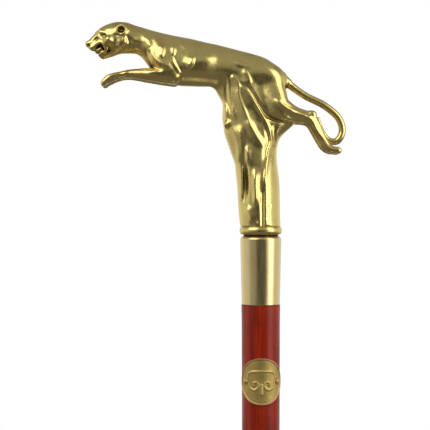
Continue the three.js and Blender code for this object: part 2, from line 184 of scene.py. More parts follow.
def smooth_line(stations, steps=6):
    """Catmull-Rom through rows of numbers, with the same number of steps between each two."""
    rows = np.asarray(stations, float)
    padded = np.vstack([2 * rows[0] - rows[1], rows, 2 * rows[-1] - rows[-2]])
    t = np.linspace(0, 1, steps, endpoint=False)[:, None]
    out = []
    for a, b, c, d in zip(padded, padded[1:], padded[2:], padded[3:]):
        out.append(0.5 * (2 * b + (c - a) * t + (2 * a - 5 * b + 4 * c - d) * t**2
                          + (3 * b - a - 3 * c + d) * t**3))
    return np.vstack([*out, rows[-1:]])


# ---- clay: a distance field in millimetres over the half where Y is positive ----
VOXEL = 0.48
FAR = 9.0  # the field where there is nothing near
REACH = 3.0  # how far past a form its field is worked out
HALF_CELLS = 29  # across one flank
LIMB_STEPS = 5

XS = np.arange(-98, 48, VOXEL, dtype=np.float32)
YS = (np.arange(HALF_CELLS, dtype=np.float32) + 0.5) * VOXEL
ZS = np.arange(3, 118, VOXEL, dtype=np.float32)


def region(low, high):
    """Slices of the grid that hold a box."""
    return tuple(slice(max(0, np.searchsorted(a, lo)), np.searchsorted(a, hi))
                 for a, lo, hi in zip((XS, YS, ZS), low, high))


def points_in(part):
    """The grid's points in a region, as three arrays that broadcast together."""
    return XS[part[0]][:, None, None], YS[part[1]][None, :, None], ZS[part[2]][None, None, :]


def soft_min(a, b, blend):
    """The smaller of two fields, rounded where they meet over the blend width."""
    h = np.maximum(blend - np.abs(a - b), 0) / blend
    return np.minimum(a, b) - h**3 * blend / 6


def oval_distance(*offsets):
    """About the distance to an ellipsoid, from the offset and the radius along each of its axes."""
    near = np.sqrt(sum((offset / radius) ** 2 for offset, radius in offsets))
    slope = np.sqrt(sum((offset / radius**2) ** 2 for offset, radius in offsets))
    return near * (near - 1) / np.maximum(slope, 1e-3)


def tilted(dx, dz, degrees):
    """Offsets along axes turned about Y: positive degrees lower the +X end."""
    a = math.radians(degrees)
    return dx * math.cos(a) - dz * math.sin(a), dx * math.sin(a) + dz * math.cos(a)


class Clay:
    """Forms are joined to and cut from one field. Everything is mirrored across Y = 0."""

    def __init__(self):
        self.field = np.full((len(XS), len(YS), len(ZS)), FAR, np.float32)

    def add(self, part, distance, blend, cut=False):
        sign = -1 if cut else 1
        self.field[part] = sign * soft_min(sign * self.field[part], distance, blend)

    def limb(self, stations, blend=2.0, cut=False):
        """An oval rod. A station is x, y, z, half width along Y, half heights above and below."""
        line = smooth_line(stations, LIMB_STEPS)
        margin = max(blend, 1) + REACH
        size = line[:, 3:].max(1)[:, None]
        part = region((line[:, :3] - size).min(0) - margin, (line[:, :3] + size).max(0) + margin)
        distance = limb_distance(part, line)
        self.add(part, distance, blend, cut)

    def body(self, stations, blend=3.0):
        """A long form along X. A station is x, top, bottom, height of the widest place, half width."""
        line = smooth_line(stations)
        margin = blend + REACH
        part = region((line[0, 0] - margin, 0, line[:, 2].min() - margin),
                      (line[-1, 0] + margin, line[:, 4].max() + margin, line[:, 1].max() + margin))
        x, y, z = points_in(part)
        top, bottom, middle, side = (np.interp(x, line[:, 0], column).astype(np.float32)
                                     for column in line.T[1:])
        up = z - middle
        height = np.where(up > 0, top - middle, middle - bottom)
        distance = oval_distance((y, side), (up, height))
        ends = np.maximum(line[0, 0] - x, x - line[-1, 0]).astype(np.float32)
        self.add(part, np.maximum(distance, ends), blend)

    def ball(self, centre, radii, tilt=0, blend=1.5, cut=False):
        """An ellipsoid, tilted about Y by degrees: positive lowers its +X end."""
        reach = max(radii) + max(blend, 1) + REACH
        part = region(np.array(centre) - reach, np.array(centre) + reach)
        x, y, z = points_in(part)
        u, w = tilted(x - centre[0], z - centre[2], tilt)
        distance = oval_distance(*zip((u, y - centre[1], w), radii))
        self.add(part, distance, blend, cut)


def limb_distance(part, line):
    """Distance to an oval rod at a region's points, by the nearest place on its line."""
    x, y, z = np.broadcast_arrays(*points_in(part))
    shape = x.shape
    p = np.stack([x.ravel(), y.ravel(), z.ravel()], -1)
    starts, ends = line[:-1, :3].astype(np.float32), line[1:, :3].astype(np.float32)
    best = np.full(len(p), np.inf, np.float32)
    place = np.zeros(len(p), np.float32)
    for i, (a, b) in enumerate(zip(starts, ends)):
        along = b - a
        t = np.clip(((p - a) @ along) / max(float(along @ along), 1e-9), 0, 1)
        gap = p - a - t[:, None] * along
        square = np.einsum("ij,ij->i", gap, gap)
        closer = square < best
        best[closer] = square[closer]
        place[closer] = i + t[closer]
    index = np.arange(len(line))
    tangent = np.gradient(line[:, :3], axis=0)
    tangent /= np.linalg.norm(tangent, axis=1)[:, None]
    at = [np.interp(place, index, column).astype(np.float32) for column in line.T]
    tx, ty, tz = (np.interp(place, index, column).astype(np.float32) for column in tangent.T)
    gx, gy, gz = p[:, 0] - at[0], p[:, 1] - at[1], p[:, 2] - at[2]
    flat = np.maximum(np.hypot(tx, tz), 1e-6)
    up = (-tz * gx + tx * gz) / flat  # across the line, in the plane of X and Z
    along = tx * gx + ty * gy + tz * gz
    side = np.sqrt(np.maximum(gx**2 + gy**2 + gz**2 - up**2 - along**2, 0))
    height = np.where(up > 0, at[4], at[5])
    end = np.minimum(at[3], height)
    return oval_distance((side, at[3]), (up, height), (along, end)).reshape(shape)


def blurred(values):
    """A light binomial blur of a grid."""
    for axis in range(values.ndim):
        padding = [(1, 1) if a == axis else (0, 0) for a in range(values.ndim)]
        wide = np.pad(values, padding, mode="edge")
        n = values.shape[axis]
        low, mid, high = (np.take(wide, range(k, k + n), axis) for k in range(3))
        values = 0.25 * low + 0.5 * mid + 0.25 * high
    return values


# ---- relief: low ridges, grooves and swells, laid on the flanks as seen from the side ----
class Relief:
    """Heights in millimetres over X and Z, added to the surfaces that face sideways."""

    def __init__(self):
        self.x, self.z = np.meshgrid(XS, ZS, indexing="ij")
        self.height = np.zeros_like(self.x)

    def nearest(self, line):
        """Distance from the line, which side of it (+1 is the left of its run), and place 0 to 1."""
        best = np.full(self.x.shape, np.inf, np.float32)
        side = np.ones_like(self.x)
        place = np.zeros_like(self.x)
        lengths = np.r_[0, np.cumsum(np.linalg.norm(np.diff(line, axis=0), axis=1))]
        lengths /= lengths[-1]
        for i, (a, b) in enumerate(zip(line, line[1:])):
            ux, uz = b - a
            t = np.clip(((self.x - a[0]) * ux + (self.z - a[1]) * uz) / (ux * ux + uz * uz), 0, 1)
            gx, gz = self.x - a[0] - t * ux, self.z - a[1] - t * uz
            square = gx * gx + gz * gz
            closer = square < best
            best[closer] = square[closer]
            side[closer] = np.sign(ux * gz - uz * gx)[closer]
            place[closer] = (lengths[i] + t * (lengths[i + 1] - lengths[i]))[closer]
        return np.sqrt(best), side, place

    def stroke(self, kind, height, width, points, taper=(0.3, 0.3), falls=0):
        """A raised (or, with a negative height, sunk) band along a smooth line.
        kind: swell is round, ridge has a sharp crest, and cliff slopes away on the left of the
        line's run over its width and drops on the right over the distance `falls`.
        taper is the share of the line over which it rises at its start and dies at its end."""
        distance, side, place = self.nearest(smooth_line(points).astype(np.float32))
        if kind == "cliff":
            width = np.where(side > 0, width, falls)
        share = np.clip(1 - distance / width, 0, 1)
        profile = {"swell": (1 - (1 - share) ** 2) ** 2, "ridge": share**1.6, "cliff": share**1.3}[kind]
        ends = smooth_step(place / max(taper[0], 1e-3)) * smooth_step((1 - place) / max(taper[1], 1e-3))
        self.height += height * profile * ends

    def dab(self, centre, radii, height, tilt=0):
        """An oval swell or hollow."""
        u, w = tilted(self.x - centre[0], self.z - centre[1], tilt)
        share = np.clip(1 - (u / radii[0]) ** 2 - (w / radii[1]) ** 2, 0, 1)
        self.height += height * share**2


def smooth_step(t):
    t = np.clip(t, 0, 1)
    return t * t * (3 - 2 * t)


def lay_on(clay, relief):
    """Adds the relief to the surfaces of the clay that face sideways."""
    facing = np.abs(np.gradient(blurred(clay.field), VOXEL, axis=1))
    clay.field -= relief.height[:, None, :] * smooth_step(facing * 1.25)


# ---- meshing the clay ----
EDGES = [(a, b) for a in range(8) for b in range(a + 1, 8) if bin(a ^ b).count("1") == 1]


def surface_net(field, origin):
    """Points and quads of the field's zero surface, one point in each cell that it passes through."""
    inside = field < 0
    corner = [np.array([(c >> k) & 1 for k in range(3)]) for c in range(8)]
    size = np.array(field.shape) - 1
    views = [inside[c[0]:c[0] + size[0], c[1]:c[1] + size[1], c[2]:c[2] + size[2]] for c in corner]
    count = sum(v.astype(np.int8) for v in views)
    cells = np.argwhere((count > 0) & (count < 8))
    values = np.stack([field[tuple((cells + c).T)] for c in corner], -1)
    total = np.zeros((len(cells), 3))
    crossings = np.zeros(len(cells))
    for a, b in EDGES:
        va, vb = values[:, a], values[:, b]
        cross = (va < 0) != (vb < 0)
        t = np.where(cross, va / np.where(cross, va - vb, 1), 0)
        total += np.where(cross[:, None], corner[a] + t[:, None] * (corner[b] - corner[a]), 0)
        crossings += cross
    points = (cells + total / crossings[:, None]) * VOXEL + origin
    index = np.full(tuple(size), -1, np.int64)
    index[tuple(cells.T)] = np.arange(len(cells))
    quads = []
    for axis in range(3):
        u, v = (axis + 1) % 3, (axis + 2) % 3
        ahead = np.roll(inside, -1, axis)
        change = inside != ahead
        keep = [slice(1, -1)] * 3
        keep[axis] = slice(0, -1)
        places = np.argwhere(change[tuple(keep)])
        places += [0 if k == axis else 1 for k in range(3)]
        step_u, step_v = np.eye(3, dtype=int)[u], np.eye(3, dtype=int)[v]
        ring = [places, places - step_u, places - step_u - step_v, places - step_v]
        quad = np.stack([index[tuple(r.T)] for r in ring], -1)
        outwards = inside[tuple(places.T)]
        quad[~outwards] = quad[~outwards][:, ::-1]
        quads.append(quad)
    return points, np.concatenate(quads)


def sample(grid, places):
    """Values of a grid between its points. places are in cells."""
    low = np.clip(np.floor(places).astype(int), 0, np.array(grid.shape) - 2)
    f = (places - low).astype(np.float32)
    value = 0
    for c in range(8):
        bit = [(c >> k) & 1 for k in range(3)]
        weight = np.prod([f[:, k] if bit[k] else 1 - f[:, k] for k in range(3)], axis=0)
        value = value + weight * grid[low[:, 0] + bit[0], low[:, 1] + bit[1], low[:, 2] + bit[2]]
    return value


def settle(points, quads, field, slopes, origin):
    """Evens the points out along the surface and brings them back onto it."""
    for _ in range(2):
        total = np.zeros_like(points)
        count = np.zeros(len(points))
        for k in range(4):
            a, b = quads[:, k], quads[:, (k + 1) % 4]
            np.add.at(total, a, points[b])
            np.add.at(total, b, points[a])
            np.add.at(count, a, 1)
            np.add.at(count, b, 1)
        points = 0.5 * points + 0.5 * total / count[:, None]
        for _ in range(2):
            cells = (points - origin) / VOXEL
            slope = np.stack([sample(s, cells) for s in slopes], -1)
            square = np.maximum((slope**2).sum(1), 0.05)
            points -= slope * (sample(field, cells) / square)[:, None]
    return points


# How far out from the surface a hollow is looked for, and the weight of each look.
HOLLOW_LOOKS = ((0.8, 0.3), (1.8, 0.4), (3.4, 0.3))


def mesh_of(clay, name):
    """The clay and its mirror image as one mesh, with the depth of its hollows as an attribute."""
    half = clay.field
    field = np.concatenate([half[:, ::-1], half], axis=1)
    origin = np.array([XS[0], -YS[-1], ZS[0]], float)
    slopes = np.gradient(field, VOXEL)
    points, quads = surface_net(field, origin)
    points = settle(points, quads, field, slopes, origin)
    piece = new_mesh(name, points + (0, 0, HANDLE_Z), quads.tolist(), 180)
    cells = (points - origin) / VOXEL
    normal = np.stack([sample(s, cells) for s in slopes], -1)
    normal /= np.maximum(np.linalg.norm(normal, axis=1), 1e-6)[:, None]
    hollow = 0
    for reach, weight in HOLLOW_LOOKS:
        open_space = sample(field, (points + normal * reach - origin) / VOXEL) / reach
        hollow = hollow + weight * np.clip(1 - open_space, 0, 1)
    # the cast brass darkens these hollows, as patina and as painted shade
    set_values(piece, "hollow", hollow)
    return piece


# ---- the cat and its stem ----
HALF_SLOT = 0.8  # from a joint's middle to the pieces either side of its washer
BEAD_HEIGHT = 3.9
CASTING_FOOT = HALF_SLOT + BEAD_HEIGHT + 0.1  # the cat's stem stands on the bead ring

TORSO = [  # x, top, bottom, height of the widest place, half width
    (-77, 114.4, 99.6, 107, 6.2),
    (-70, 113.7, 98.9, 106, 6.7),
    (-65, 112.6, 96.6, 104.4, 7),
    (-60, 111.1, 90.6, 101, 8.2),
    (-53, 109.2, 83.2, 96, 9.8),
    (-45, 107.5, 81, 91.6, 10.8),
    (-38, 106.2, 80.5, 89.8, 11.2),
    (-30, 104.3, 80.3, 89.2, 10.3),
    (-23, 102.8, 80.5, 89.2, 8.9),
    (-16, 101, 80.6, 89, 8.2),
    (-9, 99.2, 80.2, 88.4, 8.1),
    (-2, 97.3, 79, 87, 8.6),
    (3, 95.4, 77.4, 86, 8.8),
    (7, 92.8, 76.6, 85, 8.2),
    (10.5, 90.2, 76.8, 84, 6.4),
    (13, 87.4, 79, 83.4, 3.6),
]
SHOULDER = [
    (-57, 5, 103, 3.6, 4.6, 5),
    (-54, 6.8, 97.5, 4.2, 6, 6.6),
    (-50, 7.8, 91, 4.2, 5.6, 6.2),
    (-46.4, 7.8, 85.4, 3.6, 3.8, 4),
]
FOREARM = [
    (-47, 7.6, 85, 3.6, 4, 3.9),
    (-54, 7.2, 85.9, 3.8, 4, 4.1),
    (-62, 6.6, 86.4, 3.2, 3.2, 3.2),
    (-70, 5.8, 86.7, 2.6, 2.2, 2.3),
    (-75, 5.4, 86.1, 2.5, 1.9, 1.9),
    (-79.5, 5.2, 85, 3.1, 2.2, 2.1),
    (-82, 5.2, 83.9, 3.3, 2.4, 2.1),
    (-83.2, 5.2, 82.8, 2.9, 1.9, 1.9),
]
THIGH = [
    (-1, 1.6, 88, 4.6, 6.4, 6.4),
    (3.6, 3, 81.8, 5, 8, 9.4),
    (6.8, 4.4, 75.6, 5.2, 7.2, 9),
    (10.4, 5.8, 69.8, 4.8, 5.3, 8.2),
    (14.6, 6.2, 66.6, 3.8, 4.2, 6),
]
SHIN = [
    (12.6, 6.2, 67.4, 3.8, 4.6, 6.4),
    (18.4, 6, 65.2, 3, 3.8, 5),
    (23.6, 5.8, 63.6, 2.5, 3.5, 3.9),
    (27, 5.7, 61.6, 2.3, 3.4, 3.2),
    (29.6, 5.6, 57.4, 2.1, 3, 3),
    (32.2, 5.6, 52.4, 2.1, 2.7, 2.8),
    (34.6, 5.6, 48.4, 2.5, 2.6, 2.6),
    (37.4, 5.6, 46.2, 2.9, 2.1, 2.1),
    (41.2, 5.6, 45.8, 2.6, 1.8, 1.7),
]
STEM = [
    (-0.1, 0, 5, 10.8, 10.8, 10.8),
    (-0.8, 0, 12, 10.9, 11.1, 11.2),
    (-1.3, 0, 27, 10.6, 11.5, 11.4),
    (-2, 0, 34, 10.3, 11.5, 11.3),
    (-2.9, 0, 41, 10, 11.4, 11.5),
    (-4.7, 0, 49.5, 9.4, 12.6, 13),
    (-5.2, 0, 56, 9.2, 14.6, 15),
    (-5.2, 0, 64, 9.1, 15.4, 16.4),
    (-6.4, 0, 73, 9, 13.8, 15.4),
    (-9, 0, 82, 8.5, 11.6, 12),
]
TAIL_ROOT = [
    (5.5, 0, 88.4, 3.4, 3.4, 3.4),
    (10.6, 0, 85.6, 2.9, 2.9, 2.9),
    (15, 0, 81.9, 2.5, 2.5, 2.5),
]
FRONT_WEB = [
    (-12, 0, 66, 6, 7.4, 6),
    (-13.8, 0, 73, 5.8, 6.4, 7),
    (-16.4, 0, 79, 5.6, 7.4, 8),
    (-19, 0, 86, 5.6, 8.8, 8),
]
REAR_WEB = [
    (3, 0, 48, 7, 5.6, 4.8),
    (6, 0, 56, 7, 7, 5.6),
    (11, 0, 64, 7, 7, 8),
]
SKULL = [
    (-92.4, 0, 103, 2.9, 2.2, 2),
    (-90.2, 0, 104.2, 3.6, 2.9, 2.9),
    (-87.4, 0, 105.6, 4.6, 4.2, 4),
    (-84, 0, 106.6, 6.4, 6.4, 4.8),
    (-79, 0, 107, 7.6, 8, 6.4),
    (-74, 0, 106.8, 7.4, 8.2, 7.2),
]
JAW = [
    (-85, 0, 97.2, 2.3, 1.8, 2.1),
    (-81, 0, 98.2, 3.4, 1.9, 1.9),
    (-76, 0, 100.2, 4.8, 2.6, 2.2),
    (-70, 0, 102, 5.6, 3.4, 3.8),
]
UPPER_LIP = [
    (-92, 1.6, 101.8, 1.3, 1.3, 1.3),
    (-90.4, 2.5, 101.3, 1.4, 1.5, 1.6),
    (-88.4, 3.2, 102.9, 1.1, 1.1, 1.1),
    (-86, 4.2, 103.9, 1.1, 1, 1),
    (-84, 4.9, 102.7, 1.2, 1.2, 1.2),
    (-82.8, 4.6, 100.2, 1.3, 1.2, 1.2),
]
LOWER_LIP = [
    (-87, 1.5, 97.2, 0.9, 0.8, 0.9),
    (-85.4, 2.5, 98.6, 0.8, 0.7, 0.8),
    (-83.4, 3.6, 99.3, 0.9, 0.8, 0.9),
]
BROW = [
    (-88.6, 2, 109, 0.9, 0.8, 0.8),
    (-86.6, 3.9, 109.6, 1.1, 0.9, 0.9),
    (-84.2, 5.2, 108.9, 1, 0.8, 0.8),
    (-82, 5.8, 108.2, 0.7, 0.6, 0.6),
]
EAR_RIM = [
    (-76.4, 6.8, 107.8, 0.9, 0.9, 0.9),
    (-77.5, 6.6, 109.6, 0.9, 0.9, 0.9),
    (-76.4, 6.4, 111.8, 0.9, 0.8, 0.8),
    (-74.2, 6.5, 112.5, 0.9, 0.8, 0.8),
    (-72.4, 6.9, 110.9, 0.9, 0.9, 0.9),
    (-72.8, 7.2, 108.6, 0.9, 0.9, 0.9),
    (-74.8, 7.3, 107.6, 0.9, 0.8, 0.8),
]


def model_head(clay):
    clay.limb(SKULL, blend=3)
    clay.limb(JAW, blend=2)
    clay.ball((-81.2, 5.4, 104.6), (3.4, 3.0, 3.2), blend=1.5)  # cheek
    clay.ball((-75.0, 5.4, 103.4), (3.4, 2.6, 3.4), blend=2)  # back of the jaw
    clay.ball((-78.6, 0, 101.6), (5.0, 5.6, 3.0), blend=1.5)  # behind the mouth
    clay.ball((-88.0, 4.9, 99.9), (3.6, 3.1, 1.8), tilt=-32, blend=0.6, cut=True)  # mouth
    clay.ball((-85.4, 5.6, 101.0), (2.0, 3.0, 1.6), tilt=-30, blend=0.6, cut=True)
    clay.ball((-86.4, 0, 100.3), (3.6, 3.7, 1.5), tilt=-30, blend=0.5)  # tongue
    clay.limb(UPPER_LIP, blend=0.8)
    clay.limb(LOWER_LIP, blend=0.8)
    clay.limb([(-89.6, 2.3, 101.0, 0.8, 0.8, 0.8), (-88.8, 2.2, 98.7, 0.4, 0.4, 0.4)], blend=0.5)  # fang
    clay.ball((-93.0, 0, 103.6), (1.7, 2.5, 1.3), tilt=20, blend=0.8)  # nose
    clay.ball((-92.6, 2.2, 102.4), (0.9, 0.8, 0.7), tilt=25, blend=0.4, cut=True)  # nostril
    clay.ball((-88.9, 4.0, 105.3), (2.2, 0.9, 0.8), tilt=-30, blend=0.8, cut=True)  # beside the bridge
    clay.ball((-85.6, 6.6, 107.3), (3.0, 1.8, 1.3), tilt=10, blend=0.8, cut=True)  # eye socket
    clay.ball((-86.5, 4.2, 106.9), (1.2, 1.0, 0.95), blend=0.3)  # eye
    clay.ball((-86.9, 5.2, 107.0), (0.45, 0.4, 0.45), blend=0.2, cut=True)  # pupil
    clay.limb(BROW, blend=0.9)
    clay.ball((-74.9, 6.0, 110.0), (3.0, 2.0, 2.7), blend=1)
    clay.limb(EAR_RIM, blend=0.5)
    clay.ball((-74.9, 8.2, 110.1), (2.1, 3.4, 1.7), tilt=8, blend=0.4, cut=True)  # ear hollow
    clay.limb([(-78, 7.6, 107.0, 0.6, 0.5, 0.5), (-74, 8.4, 106.6, 0.7, 0.6, 0.6),
               (-71.4, 8.0, 104.8, 0.6, 0.5, 0.5)], blend=0.6, cut=True)  # under the ear


def model_paws(clay):
    for y in (3.7, 6.9):
        clay.ball((-83.6, y, 82.4), (2.4, 1.5, 1.7), tilt=-52, blend=0.6)  # front toes
        clay.ball((40.6, y + 0.3, 45.6), (2.3, 1.4, 1.9), tilt=6, blend=0.6)  # hind toes
    clay.ball((-83.9, 5.3, 82.2), (2.6, 1.4, 1.9), tilt=-52, blend=0.5)
    clay.ball((41.2, 5.6, 45.6), (2.2, 1.3, 1.9), tilt=6, blend=0.5)
    clay.ball((27.4, 5.7, 65.2), (2.6, 2.2, 1.9), tilt=20, blend=1.5)  # hock


# Strokes: kind, height, width, points, the taper at each end, and a cliff's drop.
# Dabs: centre, radii, height and, where it is tilted, by how much.
STEM_FOLDS = [
    ("cliff", 0.8, 5.2, [(-4.7, 56.4), (-7.0, 61.8), (-9.0, 67), (-10.8, 71.4), (-12.1, 75.8),
     (-12.0, 80.4), (-13.5, 83.4), (-16.2, 86)], (0.15, 0.05), 1.3),
    ("cliff", 1.1, 4.2, [(2.4, 46), (-0.2, 49.6), (-2.6, 53), (-5.4, 57.8), (-7.4, 62.4)],
     (0.35, 0.3), 2.6),
    ("ridge", 0.55, 1.2, [(-18, 86), (-17.5, 80.6), (-16.9, 74), (-15.8, 68.4), (-14.3, 63.4),
     (-12.6, 59.4)], (0.05, 0.3)),
    ("swell", -0.6, 1.3, [(-18.7, 83), (-18.6, 76), (-17.6, 69), (-16.2, 63.6)], (0.2, 0.25)),
    ("ridge", 0.75, 1.5, [(-7.6, 79), (-5.5, 75.6), (-3.5, 71.6), (-0.9, 67), (1.5, 62.8), (3.8, 57.8),
     (5.2, 52.4), (5.2, 49.2), (3.9, 46), (3.1, 40.6), (2.1, 33.5), (0.8, 26), (-0.2, 19)],
     (0.1, 0.3)),
    ("swell", -0.6, 1.4, [(1.8, 58.4), (3.4, 53.6), (3.6, 49.8), (2.2, 45.4), (1.4, 39)]),
    ("swell", -0.55, 3.4, [(-6.6, 71), (-4.4, 66.4), (-2.2, 61.6), (0.2, 57)]),
    ("swell", -0.9, 1.1, [(-12, 81), (-9.4, 80.2), (-6.8, 78.8), (-3.6, 73.6), (-0.2, 68), (2.6, 64.2),
     (7.2, 61.8), (11.6, 60.9), (15.8, 60)], (0.1, 0.2)),
    ("cliff", 0.45, 3.6, [(-12, 82.2), (-8.9, 81.2), (-6, 80), (-2.6, 74.6), (0.8, 69), (3.6, 65.4),
     (7.6, 63.1), (11.8, 62.2), (16, 61.3)], (0.1, 0.15), 0.9),
    ("cliff", 1.5, 3.4, [(-7.6, 49), (-7.8, 43), (-8.0, 36)], (0.35, 0.4), 1.2),
    ("swell", -2.8, 2.1, [(-9.2, 47), (-8.8, 38), (-8.3, 29), (-8.5, 22), (-9.4, 13)], (0.5, 0.4)),
    ("ridge", 0.5, 1.7, [(-15.8, 61), (-13.8, 53), (-12.5, 46), (-11.8, 36)], (0.25, 0.3)),
    ("cliff", 1.6, 3.6, [(-3.2, 37), (-3.9, 29), (-3.6, 22), (-3.4, 14)], (0.3, 0.3), 1.6),
    ("swell", -0.8, 1.4, [(1.0, 25), (0.4, 18), (0.5, 11), (0.5, 4)], (0.3, 0.05)),
    ("cliff", 0.7, 5.0, [(1.9, 40), (2.0, 30), (1.9, 20), (1.9, 5)], (0.3, 0.02), 1.0),
    ("swell", 0.7, 3.0, [(-11.8, 60), (-11.3, 54), (-10.8, 46), (-10.6, 38)], (0.25, 0.3)),
    ("cliff", 0.9, 3.4, [(-8.4, 17), (-6.8, 11.5), (-5.2, 5.5)], (0.3, 0.3), 1.2),
    ("swell", -0.7, 1.6, [(8.4, 60), (6.6, 55), (7.2, 47)], (0.2, 0.2)),
]
STEM_DABS = [
    ((-2.6, 8.0), (1.6, 1.3), -0.5, 30),
    ((4.2, 15.6), (0.9, 1.3), -0.4),
    ((3.4, 9.6), (1.3, 0.9), -0.4),
]
BODY_FOLDS = [
    ("swell", 0.6, 2.6, [(-62.4, 107), (-60.4, 103), (-59.2, 99.4)], (0.25, 0.3)),
    ("cliff", 1.1, 3.8, [(-53.2, 93.6), (-52.3, 97.6), (-52.8, 102.6)], (0.3, 0.3), 0.8),
    ("cliff", 1.0, 3.6, [(-46.9, 94.8), (-46.2, 98.4), (-46.8, 102.4)], (0.3, 0.3), 0.8),
    ("cliff", 1.4, 5.6, [(-39.6, 88.4), (-36.6, 92), (-36.2, 96.6)], (0.35, 0.35), 1.2),
    ("ridge", 0.8, 1.5, [(-48.4, 96), (-46.2, 91.2), (-42.4, 85.2)], (0.25, 0.2)),
    ("cliff", 1.0, 3.4, [(-59.8, 100.6), (-58.4, 96.2), (-55.6, 92.8), (-51.2, 90.4), (-46.4, 87.6)],
     (0.2, 0.25), 1.0),
    ("swell", -0.7, 1.6, [(-61.6, 101), (-60.6, 95.6), (-57.6, 90.8), (-52.4, 87.4)], (0.2, 0.25)),
    ("cliff", 0.6, 3.8, [(-5.8, 81), (-6.1, 83.2), (-7.2, 86), (-9.6, 89.8)], (0.15, 0.3), 1.1),
    ("swell", 0.5, 1.3, [(-86.4, 98.6), (-84.6, 97.6), (-82.4, 98.4)]),
    ("ridge", 0.8, 2.0, [(6.6, 73.4), (12.5, 68.4), (19, 65.4), (24.7, 63.2), (27.6, 60.4), (28.8, 57),
     (33.9, 50)], (0.1, 0.2)),
    ("swell", -0.5, 1.3, [(16, 69.2), (22, 66.8), (26, 64.4)]),
    ("swell", -0.5, 1.4, [(11.5, 65.6), (18, 62.6), (24.4, 60.2)], (0.2, 0.3)),
    ("swell", -0.5, 1.4, [(-69.3, 103), (-71, 104.6), (-71.9, 107)], (0.2, 0.2)),
    ("swell", 0.4, 1.5, [(-72.9, 107), (-72.9, 102)]),
    ("swell", 0.4, 1.5, [(-78, 101.2), (-73, 100.8)]),
    ("swell", 0.4, 1.6, [(-62, 86.9), (-55, 87.4), (-50, 86.8)]),
    ("ridge", 0.4, 1.1, [(-83.4, 85.8), (-80, 86.0), (-76, 86.8)], (0.2, 0.2)),
]
BODY_DABS = [
    ((-41, 100.8), (4.0, 1.5), 0.3, 32),
    ((-30.5, 93.6), (8.4, 5.5), 0.9, 6),
    ((-10.4, 91.4), (6.4, 2.3), 0.5, 18),
    ((24.9, 64.6), (0.9, 0.9), -0.4),
    ((-76.4, 84.9), (1.2, 0.8), -0.5),
    ((-79.1, 84.1), (1.2, 0.8), -0.5),
    ((-72.6, 87), (1.8, 1.3), 0.4),
    ((-66.5, 103.5), (4, 4), 0.3),
    ((-81.6, 105.0), (2.6, 2.8), 0.7),
]


def model_cat():
    clay = Clay()
    clay.body(TORSO)
    clay.limb(FRONT_WEB, blend=3.5)
    clay.limb(STEM, blend=5)
    clay.limb(REAR_WEB, blend=5)
    clay.limb(TAIL_ROOT, blend=3)
    clay.limb(SHOULDER, blend=2.0)
    clay.limb(FOREARM, blend=1.6)
    clay.limb(THIGH, blend=2.2)
    clay.limb(SHIN, blend=2.0)
    clay.ball((-17.2, 4.0, 60.2), (3.0, 2.4, 2.0), tilt=-20, blend=2)  # knobs on the stem's front edge
    clay.ball((-17.4, 4.2, 66.6), (2.2, 2.0, 3.6), blend=2)
    model_head(clay)
    model_paws(clay)
    relief = Relief()
    for stroke in STEM_FOLDS + BODY_FOLDS:
        relief.stroke(*stroke)
    for dab in STEM_DABS + BODY_DABS:
        relief.dab(*dab)
    lay_on(clay, relief)
    clay.field[:] = blurred(clay.field)
    clay.field[:] = np.maximum(clay.field, (CASTING_FOOT - ZS)[None, None, :])
    return mesh_of(clay, "cat")


# ---- materials ----
class Nodes:
    """A node tree being built. A socket takes a number, a colour or another node's output."""

    def __init__(self, tree):
        self.tree = tree

    def node(self, kind, settings=(), **inputs):
        made = self.tree.nodes.new(kind)
        for key, value in dict(settings).items():
            setattr(made, key, value)
        for socket, value in inputs.items():
            self.plug(made.inputs[socket.replace("_", " ")], value)
        return made

    def plug(self, socket, value):
        if isinstance(value, bpy.types.NodeSocket):
            self.tree.links.new(value, socket)
        else:
            socket.default_value = value

    def scaled(self, value, low, high, to_low=0.0, to_high=1.0):
        made = self.node("ShaderNodeMapRange", {"interpolation_type": "SMOOTHSTEP"}, Value=value,
                         From_Min=low, From_Max=high, To_Min=to_low, To_Max=to_high)
        return made.outputs[0]

    def maths(self, operation, a, b):
        made = self.node("ShaderNodeMath", {"operation": operation})
        self.plug(made.inputs[0], a)
        self.plug(made.inputs[1], b)
        return made.outputs[0]

    def blend(self, share, a, b):
        """From number a to number b."""
        made = self.node("ShaderNodeMix")
        for socket, value in zip((made.inputs[0], *made.inputs[2:4]), (share, a, b)):
            self.plug(socket, value)
        return made.outputs[0]

    def mix(self, share, a, b):
        """From colour a to colour b."""
        made = self.node("ShaderNodeMix", {"data_type": "RGBA"})
        self.plug(made.inputs[0], share)
        for socket, colour in zip(made.inputs[6:8], (a, b)):
            self.plug(socket, (*colour, 1) if isinstance(colour, tuple) else colour)
        return made.outputs[2]


